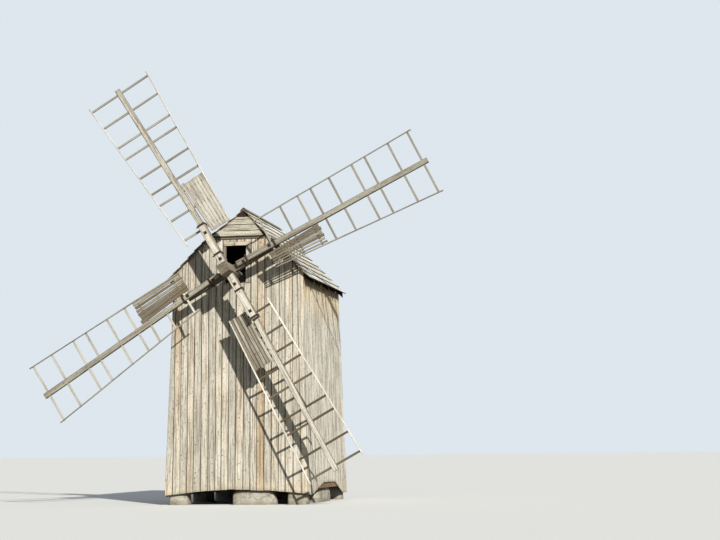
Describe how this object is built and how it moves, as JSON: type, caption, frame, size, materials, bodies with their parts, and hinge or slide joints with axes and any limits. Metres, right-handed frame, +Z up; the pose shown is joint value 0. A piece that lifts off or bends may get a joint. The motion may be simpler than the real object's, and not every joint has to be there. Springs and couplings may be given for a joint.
{
  "type": "traditional windmill",
  "caption": "Small timber windmill with a tapering boarded body, half-hipped board roof and a lattice-sail rotor that turns on a slightly inclined windshaft.",
  "frame": {"origin": "on the ground under the front foundation stone, on the middle line of the body, 0.36 m behind the foot of the front wall's face", "axes": "+Z up, -Y out of the wall that carries the sails, +X to the right as that wall is faced"},
  "size_m": [12.1074, 6.4652, 12.5814],
  "materials": {
    "wall_boards": "rough weathered boards",
    "roof_boards": "silvered lapped boards",
    "frame_timber": "rough sawn",
    "sail_timber": "weathered",
    "stock_timber": "weathered, split along the grain",
    "iron": "dark forged iron, slightly rusted",
    "stone": "rough field stone"
  },
  "bodies": {
    "mill_body": {"back_wall": "wall_boards", "corner_posts": "frame_timber", "foundation_stones": "stone", "front_wall_above": "wall_boards", "front_wall_below": "wall_boards", "front_wall_left": "wall_boards", "front_wall_right": "wall_boards", "hatch_boards": "wall_boards", "hip_plate": "frame_timber", "hip_rafters": "frame_timber", "left_wall": "wall_boards", "middle_rails": "frame_timber", "neck_beam": "frame_timber", "rafters": "frame_timber", "ridge_cap": "roof_boards", "right_wall": "wall_boards", "roof_hip": "roof_boards", "roof_left": "roof_boards", "roof_right": "roof_boards", "shaft_bearings": "frame_timber", "sill_beams": "frame_timber", "tail_beam": "frame_timber", "upper_girts": "frame_timber", "wall_plates": "frame_timber"},
    "rotor": {"bars_lower_left": "sail_timber", "bars_lower_right": "sail_timber", "bars_upper_left": "sail_timber", "bars_upper_right": "sail_timber", "boards_lower_left": "sail_timber", "boards_lower_right": "sail_timber", "boards_upper_left": "sail_timber", "boards_upper_right": "sail_timber", "rods_lower_left": "sail_timber", "rods_lower_right": "sail_timber", "rods_upper_left": "sail_timber", "rods_upper_right": "sail_timber", "stock_bolts": "iron", "stock_front": "stock_timber", "stock_rear": "stock_timber", "stock_straps": "iron", "whip_lower_left": "sail_timber", "whip_lower_right": "sail_timber", "whip_upper_left": "sail_timber", "whip_upper_right": "sail_timber", "windshaft": "frame_timber"}
  },
  "joints": [
    {"name": "windshaft_turn", "type": "hinge", "parent": "mill_body", "child": "rotor", "pos_m": [-0.06, -0.853, 6.592], "axis": [0, -0.9994, 0.0349], "continuous": true}
  ]
}
